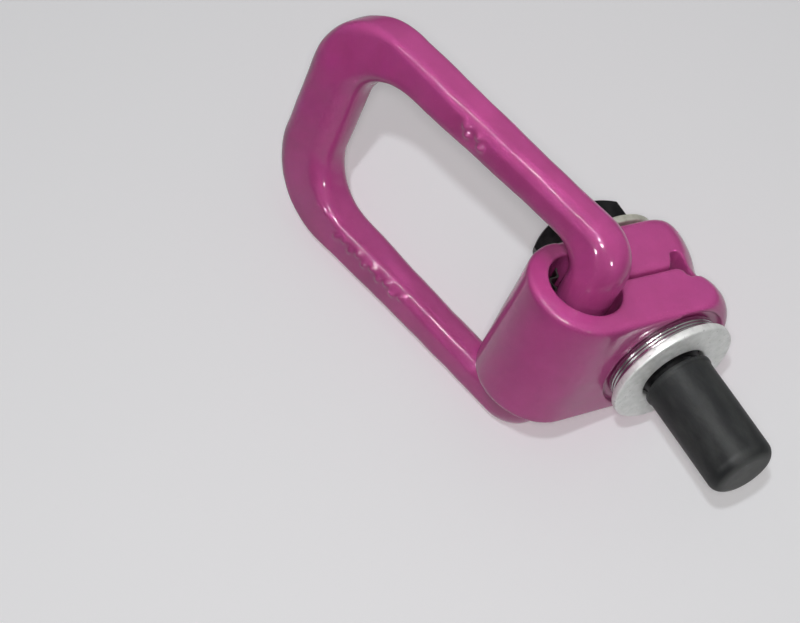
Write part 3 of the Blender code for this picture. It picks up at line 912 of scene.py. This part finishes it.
def bright_look():
    """Turned steel: fine rings left by the tool."""
    look = Look("turned_steel")
    look.set(Metallic=1.0)
    rings = look.noise(1 * MM, detail=3, coords=look.stretched((0.05, 0.05, 6.0)))
    look.link(look.blend(rings, (0.55, 0.55, 0.56), (0.72, 0.72, 0.72)), "Base Color")
    look.link(look.remap(rings, 0.3, 0.7, 0.16, 0.3), "Roughness")
    look.link(look.bump(rings, 0.01 * MM), "Normal")
    return look.material


def black_look():
    """Black oxide with a trace of oil, worn a little where it is handled."""
    look = Look("black_oxide")
    look.set(Metallic=0.7)
    patches = look.noise(4 * MM, detail=4, roughness=0.6)
    worn = look.remap(patches, 0.4, 0.7, 0, 1)
    look.link(look.blend(worn, (0.012, 0.012, 0.014), (0.035, 0.035, 0.037)), "Base Color")
    look.link(look.remap(patches, 0.3, 0.7, 0.34, 0.5), "Roughness")
    look.link(look.bump(look.noise(0.4 * MM, detail=3), 0.01 * MM), "Normal")
    return look.material


def spring_look(name):
    """Oiled spring steel, grey where the oil is thin."""
    look = Look(name)
    look.set(Metallic=1.0)
    patches = look.noise(2 * MM, detail=4)
    look.link(look.blend(patches, (0.07, 0.07, 0.075), (0.2, 0.19, 0.18)), "Base Color")
    look.link(look.remap(patches, 0.3, 0.7, 0.28, 0.42), "Roughness")
    return look.material


def rubber_look():
    """Dusty black vinyl. Its end is painted greyer, a painted sheen for the light that the end catches."""
    look = Look("cap_vinyl")
    dust = look.noise(6 * MM, detail=5, roughness=0.65, coords=look.stretched((1.0, 1.0, 0.35)))
    side = look.blend(look.remap(dust, 0.42, 0.68, 0, 1), (0.014, 0.015, 0.016), (0.034, 0.036, 0.035))
    # Painted sheen: the lowest 1.2 mm of the cap gets a paler grey, standing in for light on its end.
    painted_sheen_on_end = look.remap(look.height(), CAP_END_Z, CAP_END_Z + 1.2 * MM, 1, 0)
    look.link(look.blend(painted_sheen_on_end, side, (0.075, 0.078, 0.076)), "Base Color")
    look.link(look.remap(dust, 0.3, 0.7, 0.42, 0.58), "Roughness")
    look.set(Specular_IOR_Level=0.35)
    look.link(look.bump(look.noise(0.5 * MM, detail=3), 0.02 * MM), "Normal")
    return look.material


# Camera, table and light.

def aim(obj, target):
    obj.rotation_mode = "QUATERNION"
    obj.rotation_quaternion = (target - obj.location).to_track_quat("-Z", "Y")


def build_camera():
    data = bpy.data.cameras.new("camera")
    data.lens = CAMERA_LENS_MM
    data.sensor_width = SENSOR_MM
    camera = place("camera", data)
    camera.location = CAMERA_PLACE
    camera.rotation_euler = [math.radians(a) for a in CAMERA_TURN_DEG]
    bpy.context.scene.camera = camera


def turn_along(light, axis):
    """Turn a light about its own aim so that its long side runs along axis."""
    back = (light.location - AIM).normalized()
    side = (axis - back * axis.dot(back)).normalized()
    turn = Matrix((side, back.cross(side), back)).transposed()
    light.rotation_quaternion = turn.to_quaternion()


def area_light(name, direction, distance, size, power, shape="DISK", colour=(1, 1, 1)):
    data = bpy.data.lights.new(name, "AREA")
    data.shape = shape
    data.size, data.size_y = size if isinstance(size, tuple) else (size, size)
    data.energy = power
    data.color = colour
    light = place(name, data)
    light.location = AIM + Vector(direction).normalized() * distance
    aim(light, AIM)
    return light


def table_look():
    """A white table, dimmer far out for everything but the eye. It is clear when seen from behind."""
    look = Look("white_table")
    look.set(Roughness=0.6)
    nodes, links = look.tree.nodes, look.tree.links
    seen = nodes.new("ShaderNodeLightPath").outputs["Is Camera Ray"]
    far_out = look.remap(look.length(), FLOOR_WHITE_WITHIN, FLOOR_DIM_BEYOND, 0, 1)
    dim = look.blend(far_out, FLOOR_WHITE, FLOOR_DIM)
    look.link(look.blend(seen, dim, FLOOR_WHITE), "Base Color")
    look.link(look.blend(seen, (0, 0, 0), FLOOR_GLOW), "Emission Color")
    look.set(Emission_Strength=1.0, Specular_IOR_Level=0.0)
    behind = nodes.new("ShaderNodeNewGeometry").outputs["Backfacing"]
    clear = nodes.new("ShaderNodeBsdfTransparent")
    mix = nodes.new("ShaderNodeMixShader")
    links.new(behind, mix.inputs["Fac"])
    links.new(look.shader.outputs["BSDF"], mix.inputs[1])
    links.new(clear.outputs["BSDF"], mix.inputs[2])
    links.new(mix.outputs["Shader"], nodes["Material Output"].inputs["Surface"])
    return look.material


def build_floor():
    work = bmesh.new()
    bmesh.ops.create_grid(work, x_segments=1, y_segments=1, size=FLOOR_HALF)
    mesh = bpy.data.meshes.new("table")
    work.to_mesh(mesh)
    work.free()
    floor = place("table", mesh)
    floor.rotation_mode = "QUATERNION"
    floor.rotation_quaternion = FLOOR_UP.to_track_quat("Z", "Y")
    middle = FLOOR_MIDDLE - FLOOR_UP * FLOOR_MIDDLE.dot(FLOOR_UP)
    floor.location = middle + FLOOR_UP * FLOOR_LEVEL
    mesh.materials.append(table_look())


def along_direction(tree, direction, axis, low, high, to_low, to_high):
    """A value that changes with how far a direction points along the axis."""
    dot = tree.nodes.new("ShaderNodeVectorMath")
    dot.operation = "DOT_PRODUCT"
    dot.inputs[1].default_value = axis
    tree.links.new(direction, dot.inputs[0])
    return map_range(tree, dot.outputs["Value"], low, high, to_low, to_high)


def build_world():
    """Pale paper to look at. As a light it is a room that is darker below and on one side."""
    world = bpy.data.worlds.new("studio")
    bpy.context.scene.world = world
    world.use_nodes = True
    tree = world.node_tree
    direction = tree.nodes.new("ShaderNodeTexCoord").outputs["Generated"]
    room = tree.nodes["Background"]
    room.inputs["Color"].default_value = (1.0, 0.98, 0.97, 1)
    above = along_direction(tree, direction, FLOOR_UP, -0.15, 0.35, ROOM_DARK, ROOM_LIGHT)
    beside = along_direction(tree, direction, ROOM_SIDE, -1, 1, 0.5, 1.5)
    both = tree.nodes.new("ShaderNodeMath")
    both.operation = "MULTIPLY"
    tree.links.new(above, both.inputs[0])
    tree.links.new(beside, both.inputs[1])
    tree.links.new(both.outputs["Value"], room.inputs["Strength"])
    paper = tree.nodes.new("ShaderNodeBackground")
    paper.inputs["Color"].default_value = (1.0, 1.0, 1.015, 1)
    tone = along_direction(tree, direction, PAPER_SHADE, -0.2, 0.2, PAPER_DARK, PAPER_LIGHT)
    tree.links.new(tone, paper.inputs["Strength"])
    path = tree.nodes.new("ShaderNodeLightPath")
    mix = tree.nodes.new("ShaderNodeMixShader")
    tree.links.new(path.outputs["Is Camera Ray"], mix.inputs["Fac"])
    tree.links.new(room.outputs["Background"], mix.inputs[1])
    tree.links.new(paper.outputs["Background"], mix.inputs[2])
    tree.links.new(mix.outputs["Shader"], tree.nodes["World Output"].inputs["Surface"])


def light_only(light, objects):
    """Keep a light off everything but these objects."""
    lit = bpy.data.collections.new(light.name + "_lit")
    for obj in objects:
        lit.objects.link(obj)
    light.light_linking.receiver_collection = lit
    return lit


def build_lights(pieces):
    """Two lamps that light everything, three that light only the pieces, and three seen only as glints."""
    area_light("lamp", (0.778, -0.577, -0.252), 1.0, 0.05, 2.3, colour=(0.93, 0.97, 1.0))
    beside_camera = (Vector(CAMERA_PLACE) - AIM).normalized()
    area_light("front", beside_camera, 0.6, 0.06, 1.0, colour=(1.0, 0.97, 0.95))

    window = area_light("window", (0.95, -0.1, 0.3), 1.0, 0.5, 4.6)
    window.visible_glossy = False
    side = area_light("side", (0.35, -0.15, -0.93), 1.0, 0.15, 1.7)

    strip = area_light("strip", (0.865, -0.462, 0.195), 1.0, (0.34, 0.007), 1.7, shape="RECTANGLE")
    turn_along(strip, LEG_AXIS)
    spark = area_light("spark", (0.05, -0.96, -0.27), 0.9, 0.06, 1.2)
    edge = area_light("edge", (0.95, -0.16, 0.26), 1.0, 0.14, 0.6)
    for glint in (strip, spark, edge):
        glint.visible_diffuse = False

    # The table doesn't hide this one, so the far side isn't black when it is seen from behind.
    below = area_light("below", (-0.75, 0.6, 0.28), 1.0, 0.5, 4.0)
    below.visible_glossy = False
    below.light_linking.blocker_collection = light_only(below, pieces)
    light_only(window, pieces)
    light_only(side, pieces)
    light_only(edge, [piece for piece in pieces if piece.name.startswith("body")])


def main():
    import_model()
    build_camera()
    build_world()
    build_floor()
    bpy.context.scene.view_settings.view_transform = "Standard"

    seat_zinc = zinc_look("seat_zinc", *SEAT_ZINC)
    head_zinc = zinc_look("head_zinc", *HEAD_ZINC)
    pieces = [
        build_link(paint_look("link_powder_coat", PAINT)),
        build_body(paint_look("body_powder_coat", PAINT)),
        build_spring(spring_look("clamp_spring_steel")),
        build_washer("seat_washer_plated", "seat_washer", SEAT_WASHER_R, 0, SEAT_WASHER_T, seat_zinc),
        build_washer("head_washer_plated", "head_washer", HEAD_WASHER_R, HEAD_WASHER_LOW_Z,
                     HEAD_WASHER_T, head_zinc),
        build_bush(bright_look()),
        build_bolt(black_look()),
        build_retainer(spring_look("retainer_steel")),
        build_cap(rubber_look()),
    ]
    build_lights(pieces)


main()
